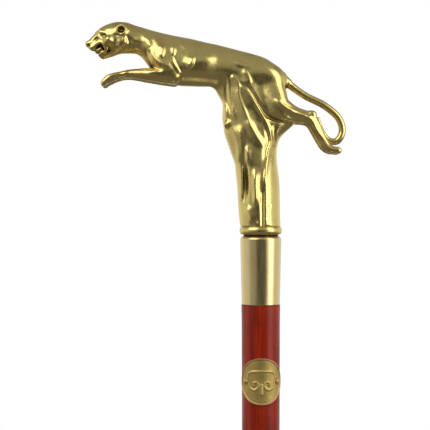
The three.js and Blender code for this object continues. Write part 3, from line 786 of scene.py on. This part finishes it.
class Paint(Nodes):
    """A material being built: its shader, and the nodes that feed it."""

    def __init__(self, name, **sockets):
        self.material = bpy.data.materials.new(name)
        self.material.use_nodes = True
        super().__init__(self.material.node_tree)
        self.shader = self.tree.nodes["Principled BSDF"]
        for socket, value in sockets.items():
            self.shader.inputs[socket.replace("_", " ")].default_value = value
        self.place = self.node("ShaderNodeTexCoord").outputs["Object"]

    def noise(self, size, detail=3.0, stretch=(1, 1, 1), rough=0.5):
        """Noise from 0 to 1 whose features are about `size` metres, longer where stretch is small."""
        placed = self.node("ShaderNodeMapping", Vector=self.place, Scale=stretch)
        made = self.node("ShaderNodeTexNoise", Vector=placed.outputs[0], Scale=1 / size, Detail=detail,
                         Roughness=rough)
        return made.outputs["Fac"]

    def attribute(self, name):
        made = self.node("ShaderNodeAttribute", {"attribute_name": name})
        return made.outputs["Fac"]

    def bump(self, height, depth, strength=1.0):
        made = self.node("ShaderNodeBump", Height=height, Distance=depth, Strength=strength)
        self.plug(self.shader.inputs["Normal"], made.outputs[0])

    def dress(self, colour, roughness):
        self.plug(self.shader.inputs["Base Color"], colour)
        self.plug(self.shader.inputs["Roughness"], roughness)
        return self.material


BRASS = (0.80, 0.65, 0.23)
SATIN_BRASS = (0.80, 0.65, 0.31)
COPPER_TINT = (0.56, 0.34, 0.13)
TARNISH_AND_SHADE = (0.075, 0.055, 0.018)
OLD_BRASS = ((0.72, 0.54, 0.17), (0.62, 0.45, 0.14))
SUNK_BRASS = (0.56, 0.40, 0.12)
RUBBED_RIM = (0.66, 0.40, 0.20)
# dark patina in the casting's hollows, together with painted shade there
STEEL = ((0.42, 0.41, 0.39), (0.56, 0.55, 0.53))
LEATHER = ((0.055, 0.026, 0.012), (0.11, 0.05, 0.022))
LACQUER = ((0.28, 0.010, 0.001), (0.46, 0.034, 0.004))
DARK_LACQUER = (0.13, 0.008, 0.002)
RUBBER = ((0.012, 0.012, 0.012), (0.03, 0.029, 0.028))
FLOOR = ((0.82, 0.82, 0.81), (0.88, 0.88, 0.87))


def cast_brass():
    paint = Paint("cast_brass", Metallic=1.0)
    hollow = paint.scaled(paint.attribute("hollow"), 0.12, 0.55)
    patches = paint.scaled(paint.noise(0.012), 0.4, 0.7)
    normal = paint.node("ShaderNodeNewGeometry").outputs["Normal"]
    # painted shade: surfaces that face up are darkened towards copper, in patches
    upward = paint.scaled(paint.node("ShaderNodeSeparateXYZ", Vector=normal).outputs[2], 0.25, 0.95)
    painted_shade_on_top = paint.maths("MULTIPLY", upward, paint.scaled(patches, 0, 1, 0.15, 0.6))
    clean = paint.mix(painted_shade_on_top, BRASS, COPPER_TINT)
    mottled = paint.mix(paint.maths("MULTIPLY", patches, 0.25), clean, COPPER_TINT)
    # patina and painted shade: the hollows, where little open space is near, are darkened
    colour = paint.mix(paint.maths("MULTIPLY", hollow, 0.85), mottled, TARNISH_AND_SHADE)
    grain = paint.noise(0.0015, 4.0)
    worn = paint.scaled(grain, 0.3, 0.7, 0.21, 0.3)
    roughness = paint.maths("ADD", worn, paint.maths("MULTIPLY", hollow, 0.2))
    dents = paint.noise(0.004, 2.0)
    paint.bump(paint.maths("ADD", dents, paint.maths("MULTIPLY", grain, 0.12)), 0.00014, 0.5)
    return paint.dress(colour, roughness)


def satin_brass():
    paint = Paint("satin_brass", Metallic=1.0)
    streaks = paint.noise(0.0012, 3.0, (1, 1, 0.04))
    patches = paint.scaled(paint.noise(0.015), 0.45, 0.75)
    colour = paint.mix(paint.maths("MULTIPLY", patches, 0.22), SATIN_BRASS, COPPER_TINT)
    roughness = paint.scaled(streaks, 0.25, 0.75, 0.23, 0.33)
    paint.bump(streaks, 0.00002, 0.4)
    return paint.dress(colour, roughness)


def aged_brass():
    paint = Paint("aged_brass", Metallic=0.75)
    hollow = paint.scaled(paint.attribute("hollow"), 0.1, 0.9)
    raised = paint.scaled(paint.attribute("rim"), 0.2, 0.9)
    patches = paint.scaled(paint.noise(0.004, 4.0), 0.35, 0.7)
    old = paint.mix(patches, *OLD_BRASS)
    dull = paint.mix(hollow, old, SUNK_BRASS)
    colour = paint.mix(raised, dull, RUBBED_RIM)
    paint.bump(paint.noise(0.0008, 4.0), 0.00006, 0.5)
    return paint.dress(colour, paint.scaled(patches, 0, 1, 0.44, 0.56))


def grained(name, colours, size, detail, roughness, bump=None, **sockets):
    """A material whose colour, roughness and bump follow one noise."""
    paint = Paint(name, **sockets)
    grain = paint.noise(size, detail)
    if bump:
        paint.bump(grain, *bump)
    return paint.dress(paint.mix(grain, *colours), paint.scaled(grain, 0.3, 0.7, *roughness))


def red_lacquer():
    paint = Paint("red_lacquer", Coat_Weight=0.18, Coat_Roughness=0.3, Specular_IOR_Level=0.2)
    fibres = paint.noise(0.0022, 5.0, (1, 1, 0.035), 0.65)
    clouds = paint.noise(0.011, 3.0, (1, 1, 0.5))
    lit = paint.mix(paint.scaled(fibres, 0.35, 0.68), *LACQUER)
    colour = paint.mix(paint.scaled(clouds, 0.5, 0.68, 0, 0.6), lit, DARK_LACQUER)
    paint.bump(paint.maths("ADD", fibres, clouds), 0.00006, 0.4)
    return paint.dress(colour, paint.scaled(clouds, 0.3, 0.7, 0.3, 0.42))


def pale_floor():
    paint = Paint("pale_floor")
    colour = paint.mix(paint.noise(0.2), *FLOOR)
    return paint.dress(colour, 0.7)


# ---- pieces turned on a lathe, and the threads ----
SEEN_SLOT = 0.4  # the metal closes up over the washer to this, either side of a joint's middle
THREAD_RADIUS = 5.0
THREAD_DEPTH = 0.8
THREAD_PITCH = 1.5
THREAD_ENGAGED = 15.0
THREAD_GAP = 0.25
THREAD_ROW = THREAD_PITCH / 12
THREAD_RUN_IN = 1.5  # over which a stud's thread rises at its free end
THREAD_RUN_OUT = 1.0  # over which a thread dies away
THREAD_SIDES = 64
ROUND_SIDES = 128  # round the pieces seen closest
FINE_EDGE = 0.12  # the rounding of a turned corner
STUD_LENGTH = 26.0
INSERT_RADIUS = 6.5
INSERT_LENGTH = 22.0
END_WALL = 4.0
JOINT_TENON = 8.2
COLLAR_TENON = 8.9
TIP_TENON = 6.9
FERRULE_WALL = 1.6  # the tip ferrule's end, under the wood
FIT = 0.1  # between a piece and the one that it goes into
WASHER_BORE = 5.3
WASHER_RADIUS = {"handle": 9.4, "shaft": 9.0}
WASHER_HALF = SEEN_SLOT - 0.02
SHAFT_FOOT_Z = 46
SHAFT_RADII = (8.2, 10.35)  # at its foot and under the collar
COLLAR_LENGTH = 37.3
HEAD_SWELL = 0.15  # the wood swells by this over its last stretch
HEAD_STRETCH = 5
SPIGOT = [(5.1, 1.0), (7.1, 1.0), (7.1, 5.6), (5.1, 5.6)]  # under the cat, inside the bead ring
FOOT_TACK = (1.2, 0.5, 4)  # head, shank and length
FOOT_TACK_Z = 40
TIP_WASHER_RADII = (2.2, 7.9)
TREAD_RADII = (3.0, 5.6, 8.2, 10.8)
RIB_HEIGHTS = (11.0, 14.0, 17.0, 20.0)


def lifted(outline, z):
    return [(radius, height + z) for radius, height in outline]


def flipped(outline, z):
    """The outline upside down about Z = 0, then lifted."""
    return [(radius, z - height) for radius, height in reversed(outline)]


def arc(centre, radius, start, end, steps=6):
    """Points of an arc, in degrees from the outward direction."""
    angles = np.radians(np.linspace(start, end, steps + 1))
    return [(centre[0] + radius * math.cos(a), centre[1] + radius * math.sin(a)) for a in angles]


def crest(angles, z):
    """A right-hand thread: 0 at its root and 1 at its crest."""
    phase = (z / THREAD_PITCH - angles / (2 * np.pi)) % 1
    return np.clip(np.abs(2 * phase - 1) * 1.6 - 0.3, 0, 1)


def stud(name, joint_z):
    """A threaded rod that hangs below a joint, and is fixed in the piece above it."""
    low, top = -HALF_SLOT - THREAD_ENGAGED, -HALF_SLOT

    def shape(angles, radius, z):
        height = z - joint_z
        started = smooth_step((height - low) / THREAD_RUN_IN)
        thread = started * smooth_step((top - height) / THREAD_RUN_OUT)
        root = radius - THREAD_DEPTH * (thread * (1 - crest(angles, height)) + 1 - started)
        return root if low - 1e-6 <= height <= top else np.full(len(angles), radius)

    heights_up = [low, *np.arange(low + THREAD_ROW, top, THREAD_ROW), top, 0, STUD_LENGTH]
    outline = [(THREAD_RADIUS, z) for z in heights_up]
    return turned(name, lifted(outline, joint_z), 0, THREAD_SIDES, shape=shape)


def insert(name, joint_z):
    """A tube whose thread takes the stud's."""
    foot, top = -HALF_SLOT - INSERT_LENGTH, -HALF_SLOT
    bore = THREAD_RADIUS + THREAD_GAP

    def shape(angles, radius, z):
        height = z - joint_z
        if radius > bore + 0.01:
            return np.full(len(angles), radius)
        thread = smooth_step((top - height) / THREAD_RUN_OUT) * smooth_step((height - foot) / THREAD_RUN_OUT)
        return radius - THREAD_DEPTH * thread * (1 - crest(angles, height))

    inner = [(bore, z) for z in np.arange(top, foot, -THREAD_ROW)]
    outline = [(INSERT_RADIUS, foot), (INSERT_RADIUS, top), *inner, (bore, foot)]
    return turned(name, lifted(outline, joint_z), 0, THREAD_SIDES, closed=True, shape=shape)


def washer(name, radius, joint_z):
    outline = [(WASHER_BORE, -WASHER_HALF), (radius, -WASHER_HALF), (radius, WASHER_HALF),
               (WASHER_BORE, WASHER_HALF)]
    return turned(name, lifted(outline, joint_z), 0.3, closed=True)


def joint_ferrule(eye):
    """Outline of a sleeve over the shaft's end, below a joint, with an eye in its end wall."""
    low, _ = heights("lower_joint_ferrule")
    radius = half_width("lower_joint_ferrule")
    mouth, top, bore = low - SHAFT_Z, -SEEN_SLOT, JOINT_TENON + 2 * FIT
    return [(bore, mouth), (radius - 0.15, mouth), (radius, mouth + 0.7), (radius - 0.12, mouth + 1.3),
            (radius - 0.12, mouth + 2.2), (radius, mouth + 2.6), *arc((radius - 1, top - 1), 1, 0, 90),
            (eye, top), (eye, top - END_WALL), (bore, top - END_WALL)]


def collar():
    low, _ = heights("collar")
    head, foot, edge = half_width("collar"), 10.3, 1.7
    low, top, bore = low - HANDLE_Z, -SEEN_SLOT, COLLAR_TENON + 2 * FIT
    eye = INSERT_RADIUS + 2 * FIT
    outline = [(bore, low), (foot - 0.25, low), (foot, low + 0.4), (foot, low + 0.8),
               *arc((head - edge, top - edge), edge, 0, 90, 10), (eye, top), (eye, top - END_WALL),
               (bore, top - END_WALL)]
    return turned("collar_sleeve", lifted(outline, HANDLE_Z), 0.15, ROUND_SIDES, closed=True)


def bead_ring():
    bore, top = 7.3, HALF_SLOT + BEAD_HEIGHT
    belly = arc((8.1, HALF_SLOT + 1.95), 3.4, -36, 30, 12)
    outline = [(bore, SEEN_SLOT), (9.5, SEEN_SLOT), (10.0, HALF_SLOT - 0.1), *belly,
               (10.5, top - 0.2), (10.5, top), (bore, top)]
    return turned("bead", lifted(outline, HANDLE_Z), FINE_EDGE, ROUND_SIDES, closed=True)


def shaft_radius(z):
    return np.interp(z, [SHAFT_FOOT_Z, HANDLE_Z - COLLAR_LENGTH], SHAFT_RADII)


def wood(name, foot, head, tenons, shoulders, hole):
    """A length of shaft: turned ends inside the metal, and a hole in its top for the insert."""
    low, high = shoulders
    body = [(shaft_radius(z) + HEAD_SWELL * smooth_step((z - high + HEAD_STRETCH) / HEAD_STRETCH), z)
            for z in np.linspace(low, high, 40)]
    outline = [(tenons[0], foot), (tenons[0], low), *body, (tenons[1], high), (tenons[1], head),
               (INSERT_RADIUS + FIT, head), (INSERT_RADIUS + FIT, hole)]
    return turned(name, outline, FINE_EDGE)


def tip_ferrule():
    low, high = heights("tip_ferrule")
    radius, bore = half_width("tip_ferrule"), TIP_TENON + 2 * FIT
    outline = [(2, low), *arc((radius - 0.8, low + 0.8), 0.8, -90, 0), (radius, high - 3.2),
               (radius - 0.15, high - 2.9), (radius - 0.15, high - 2.3), (radius, high - 2),
               (radius, high - 0.5), (radius - 0.3, high), (bore, high), (bore, low + FERRULE_WALL)]
    return turned("foot_ferrule", outline, FINE_EDGE)


def rubber_tip():
    low, high = heights("rubber_tip")
    base, bore, floor = half_width("rubber_tip"), 8.4, 7.0
    tread = []
    for radius in TREAD_RADII:
        tread += [(radius, low), (radius + 0.35, low + 1), (radius + 1.05, low + 1), (radius + 1.4, low)]
    side = [*arc((base - 1.2, low + 1.2), 1.2, -90, 0), (base, 4.6), (base - 0.5, 5.4), (12.9, 6.6),
            (12.2, 8.4)]
    ribs = []
    for z in RIB_HEIGHTS:
        ribs += [(12.0, z), (11.75, z + 0.5), (11.75, z + 1.1), (11.95, z + 1.6)]
    lip = [(11.5, high - 5), (11.9, high - 4.2), (11.9, high - 1), *arc((11.1, high - 0.8), 0.8, 0, 90),
           (bore, high), (bore, floor)]
    return turned("rubber_foot", [(1.2, low), *tread, *side, *ribs, *lip], 0.2)


def aimed(piece, angle, radius, z):
    """Turns a piece made up Z to point outwards from the shaft. angle is from -Y, towards +X."""
    outwards = Vector((math.sin(angle), -math.cos(angle), 0))
    turn = Vector((0, 0, 1)).rotation_difference(outwards).to_matrix().to_4x4()
    piece.data.transform(Matrix.Translation((outwards * radius + Vector((0, 0, z))) * MM) @ turn)


def domed_pin(name, head, shank, length):
    dome = arc((0, -head * 0.2), head * 1.02, 12, 84, 10)
    return turned(name, [(shank, -length), (shank, 0), (head, 0), *dome], 0.08, 40)


# ---- the medallion ----
MEDALLION_Z = HANDLE_Z - 77.5
MEDALLION_RADIUS = 12.5
MEDALLION_THICKNESS = 0.9
PIN_ARC = 9.4
MEDAL_PIN = (1.55, 0.6, 7)  # head, shank and length
PIN_SEAT = 0.85  # from the wood to the underside of a pin's head
FACE_RINGS = 84
FACE_SIDES = 160
BACK_ROWS = [-1, 60, 40, 20, 0]  # the face's rings that its flat back repeats
VOLUTE = [(0, 5.5), (-4, 5.3), (-7, 4.2), (-7.4, 0.6), (-6.2, -3.2), (-3.6, -4.4), (-1.6, -2.6),
          (-2.2, -0.4), (-4.0, -0.5), (-4.2, -2.0)]
DROP = [(0, -1.6), (0, -6.4)]


def line_share(x, y, line, width):
    """1 on a line, falling smoothly to 0 at the width."""
    nearest = np.full(x.shape, np.inf)
    for (ax, ay), (bx, by) in zip(line, line[1:]):
        ux, uy = bx - ax, by - ay
        t = np.clip(((x - ax) * ux + (y - ay) * uy) / (ux * ux + uy * uy), 0, 1)
        nearest = np.minimum(nearest, np.hypot(x - ax - t * ux, y - ay - t * uy))
    return smooth_step(1 - nearest / width)


def medallion_face(x, y):
    """Height of the medallion's face over its back, and how far it is raised as a rim."""
    radius = np.hypot(x, y)
    rim = smooth_step((radius - MEDALLION_RADIUS + 1.0) / 0.4)
    inner = smooth_step(1 - np.abs(radius - 10.4) / 0.35)
    volute = smooth_line(VOLUTE, 4)
    scroll = np.maximum(line_share(-np.abs(x), y, volute, 0.85), line_share(x, y, DROP, 1.0))
    pins = smooth_step(2.6 - np.hypot(np.abs(x) - PIN_ARC, y))
    field = 0.45 + 0.06 * inner + 0.36 * scroll
    height = field * (1 - pins) + 0.6 * pins
    return height * (1 - rim) + MEDALLION_THICKNESS * rim, rim, scroll


def medallion():
    seat = shaft_radius(MEDALLION_Z + MEDALLION_RADIUS) + 0.15
    radii = [*np.linspace(0.15, MEDALLION_RADIUS - 0.15, FACE_RINGS), MEDALLION_RADIUS]
    angles = np.linspace(0, 2 * np.pi, FACE_SIDES, endpoint=False)
    r, a = np.meshgrid(radii, angles, indexing="ij")
    x, y = r * np.cos(a), r * np.sin(a)
    face, rim, scroll = medallion_face(x, y)
    face[-1] -= 0.2  # a small chamfer
    front = np.stack([x, y, face], -1)
    back = np.stack([x, y, np.zeros_like(x)], -1)[BACK_ROWS]
    flat = np.concatenate([front, back]).reshape(-1, 3)
    turn = flat[:, 0] / seat
    out = seat + flat[:, 2]
    points = np.stack([out * np.sin(turn), -out * np.cos(turn), flat[:, 1] + MEDALLION_Z], -1)
    rows = len(radii) + len(BACK_ROWS)
    faces = [f[::-1] for f in net_faces(rows, FACE_SIDES) + end_faces(rows, FACE_SIDES)]
    piece = new_mesh("medal", points, faces, 50)
    plain = np.zeros((len(BACK_ROWS), FACE_SIDES))
    for name, values in (("rim", rim), ("hollow", (1 - rim) * (1 - scroll) * 0.8)):
        set_values(piece, name, np.concatenate([values, plain]).ravel())
    return piece


# ---- the tail ----
TAIL = [(10.6, 0, 85.6), (16.8, 0, 80.4), (24.4, 0, 75.2), (34.2, 0, 70.2), (41.8, 0, 63.6), (44, 0, 56.4),
        (41.4, 0, 51.2), (37, 0, 51.2), (33.4, 0, 55.6), (30.9, 0, 63)]
TAIL_RADII = (2.5, 2.1, 2.0, 2.0, 2.0, 2.0, 1.95, 1.75, 1.4, 1.0)


def tail():
    points = [(x, y, z + HANDLE_Z) for x, y, z in TAIL]
    return swept("cat_tail", points, TAIL_RADII)


# ---- the assembly ----
FINISHES = {
    "brass_cast": cast_brass(),
    "brass_turned": satin_brass(),
    "brass_plate": aged_brass(),
    "steel": grained("dull_steel", STEEL, 0.003, 4.0, (0.26, 0.4), Metallic=1.0),
    "leather": grained("dark_leather", LEATHER, 0.0007, 5.0, (0.7, 0.9), (0.0001, 0.8),
                       Specular_IOR_Level=0.3),
    "wood_lacquer": red_lacquer(),
    "rubber": grained("black_rubber", RUBBER, 0.0009, 4.0, (0.55, 0.75), (0.00006, 0.6),
                      Specular_IOR_Level=0.35),
}


def build_handle():
    finish_piece(model_cat(), "handle", "brass_cast", "cat_casting")
    spigot = turned("casting_spigot", lifted(SPIGOT, HANDLE_Z), 0.2, closed=True)
    finish_piece(spigot, "handle", "brass_cast")
    finish_piece(tail(), "handle", "brass_cast", "tail")
    finish_piece(bead_ring(), "handle", "brass_cast", "bead_ring")
    finish_piece(stud("handle_screw", HANDLE_Z), "handle", "steel", "handle_stud")
    disc = washer("handle_leather", WASHER_RADIUS["handle"], HANDLE_Z)
    finish_piece(disc, "handle_washer", "leather", "handle_joint_washer")


def build_upper():
    body = "upper_section"
    finish_piece(collar(), body, "brass_turned", "collar")
    finish_piece(insert("collar_thread", HANDLE_Z), body, "brass_turned", "collar_insert")
    top = HANDLE_Z - HALF_SLOT - END_WALL - FIT
    foot = SHAFT_Z + HALF_SLOT + END_WALL + FIT
    shoulders = heights("upper_joint_ferrule")[1] + FIT, heights("collar")[0] - FIT
    hole = HANDLE_Z - HALF_SLOT - INSERT_LENGTH
    rod = wood("upper_rod", foot, top, (JOINT_TENON, COLLAR_TENON), shoulders, hole)
    finish_piece(rod, body, "wood_lacquer", "upper_shaft")
    finish_piece(medallion(), body, "brass_plate", "medallion")
    seat = shaft_radius(MEDALLION_Z) + PIN_SEAT
    for side, label in ((-1, "left"), (1, "right")):
        pin = domed_pin("medal_pin_" + label, *MEDAL_PIN)
        aimed(pin, side * PIN_ARC / seat, seat, MEDALLION_Z)
        finish_piece(pin, body, "brass_plate", "medallion_pin_" + label)
    outline = flipped(joint_ferrule(THREAD_RADIUS + FIT), SHAFT_Z)
    sleeve = turned("upper_sleeve", outline, FINE_EDGE, closed=True)
    finish_piece(sleeve, body, "brass_turned", "upper_joint_ferrule")
    finish_piece(stud("shaft_screw", SHAFT_Z), body, "steel", "shaft_joint_stud")
    disc = washer("shaft_leather", WASHER_RADIUS["shaft"], SHAFT_Z)
    finish_piece(disc, "shaft_washer", "leather", "shaft_joint_washer")


def build_lower():
    body = "lower_section"
    outline = lifted(joint_ferrule(INSERT_RADIUS + FIT), SHAFT_Z)
    sleeve = turned("lower_sleeve", outline, FINE_EDGE, closed=True)
    finish_piece(sleeve, body, "brass_turned", "lower_joint_ferrule")
    finish_piece(insert("shaft_thread", SHAFT_Z), body, "brass_turned", "shaft_joint_insert")
    top = SHAFT_Z - HALF_SLOT - END_WALL - FIT
    foot = heights("tip_ferrule")[0] + FERRULE_WALL + FIT
    shoulders = heights("tip_ferrule")[1] + FIT, heights("lower_joint_ferrule")[0] - FIT
    hole = SHAFT_Z - HALF_SLOT - INSERT_LENGTH
    rod = wood("lower_rod", foot, top, (TIP_TENON, JOINT_TENON), shoulders, hole)
    finish_piece(rod, body, "wood_lacquer", "lower_shaft")
    finish_piece(tip_ferrule(), body, "brass_turned", "tip_ferrule")
    tack = domed_pin("foot_tack", *FOOT_TACK)
    aimed(tack, 0, half_width("tip_ferrule"), FOOT_TACK_Z)
    finish_piece(tack, body, "brass_plate", "tip_tack")
    finish_piece(rubber_tip(), "tip", "rubber", "rubber_tip")
    low, high = heights("tip_washer")
    bore, radius = TIP_WASHER_RADII
    outline = [(bore, low), (radius, low), (radius, high), (bore, high)]
    disc = turned("foot_washer", outline, 0.2, closed=True)
    finish_piece(disc, "tip", "steel", "tip_washer")


# ---- the studio ----
TARGET = Vector((0, 0, 0.86))
FLOOR_RADIUS = 200
FLOOR_SIDES = 96
BELOW_TINT = (1.0, 0.9, 0.88)
WHITE = (1.0, 1.0, 1.0)
CAMERA_PLACE = (-0.0247, -0.648, 0.8101)
LENS = 100.5
SENSOR = 36


def soft_box(name, azimuth, elevation, distance, width, height, radiance):
    """A flat light that faces the handle. azimuth is from -Y towards +X, in degrees."""
    a, e = math.radians(azimuth), math.radians(elevation)
    away = Vector((math.sin(a) * math.cos(e), -math.cos(a) * math.cos(e), math.sin(e)))
    light = bpy.data.lights.new(name, "AREA")
    light.shape = "RECTANGLE"
    light.size, light.size_y = width, height
    light.energy = math.pi * width * height * radiance
    lamp = bpy.data.objects.new(name, light)
    lamp.location = TARGET + away * distance
    lamp.rotation_euler = away.to_track_quat("Z", "Y").to_euler()
    bpy.context.scene.collection.objects.link(lamp)


def studio_world():
    """White behind the stick, soft grey at its sides and above, dim below, darkest straight in front."""
    world = bpy.data.worlds.new("studio")
    bpy.context.scene.world = world
    world.use_nodes = True
    sky = Nodes(world.node_tree)
    place = sky.node("ShaderNodeTexCoord").outputs["Generated"]
    _, y, z = sky.node("ShaderNodeSeparateXYZ", Vector=place).outputs
    front = sky.scaled(y, -0.93, -0.80, 1.0, 0.0)
    room = sky.scaled(z, -0.05, 0.38, 0.05, 0.31)
    beside = sky.scaled(y, -0.5, -0.2, 0.31, 0.66)
    behind = sky.scaled(y, 0.0, 0.9)
    level = sky.blend(front, sky.blend(behind, beside, 0.85), room)
    ceiling = sky.blend(sky.scaled(z, 0.15, 0.65), level, 0.32)
    light = sky.blend(sky.scaled(z, -0.5, -0.1, 1.0, 0.0), ceiling, 0.16)
    camera_ray = sky.node("ShaderNodeLightPath").outputs["Is Camera Ray"]
    colour = sky.mix(sky.blend(camera_ray, sky.scaled(z, -0.5, -0.1), 1.0), BELOW_TINT, WHITE)
    background = sky.tree.nodes["Background"]
    sky.plug(background.inputs["Strength"], sky.blend(camera_ray, light, 1.0))
    sky.plug(background.inputs["Color"], colour)


def build_studio():
    studio_world()
    soft_box("right_box", azimuth=57, elevation=15, distance=1.2, width=0.72, height=1.4, radiance=2.1)
    soft_box("left_box", azimuth=-50, elevation=33, distance=1.2, width=1.0, height=0.9, radiance=1.9)
    around = np.linspace(0, 2 * np.pi, FLOOR_SIDES, endpoint=False)
    rim = np.stack([FLOOR_RADIUS * np.cos(around), FLOOR_RADIUS * np.sin(around), 0 * around], -1)
    floor = new_mesh("floor", rim, [tuple(range(FLOOR_SIDES))])
    floor.data.materials.append(pale_floor())


def place_camera():
    camera = bpy.data.cameras.new("camera")
    camera.lens = LENS
    camera.sensor_width = SENSOR
    viewer = bpy.data.objects.new("camera", camera)
    viewer.location = CAMERA_PLACE
    viewer.rotation_euler = (math.pi / 2, 0, 0)
    bpy.context.scene.collection.objects.link(viewer)
    bpy.context.scene.camera = viewer


build_handle()
build_upper()
build_lower()
build_studio()
place_camera()
bpy.context.scene.view_settings.view_transform = "Standard"
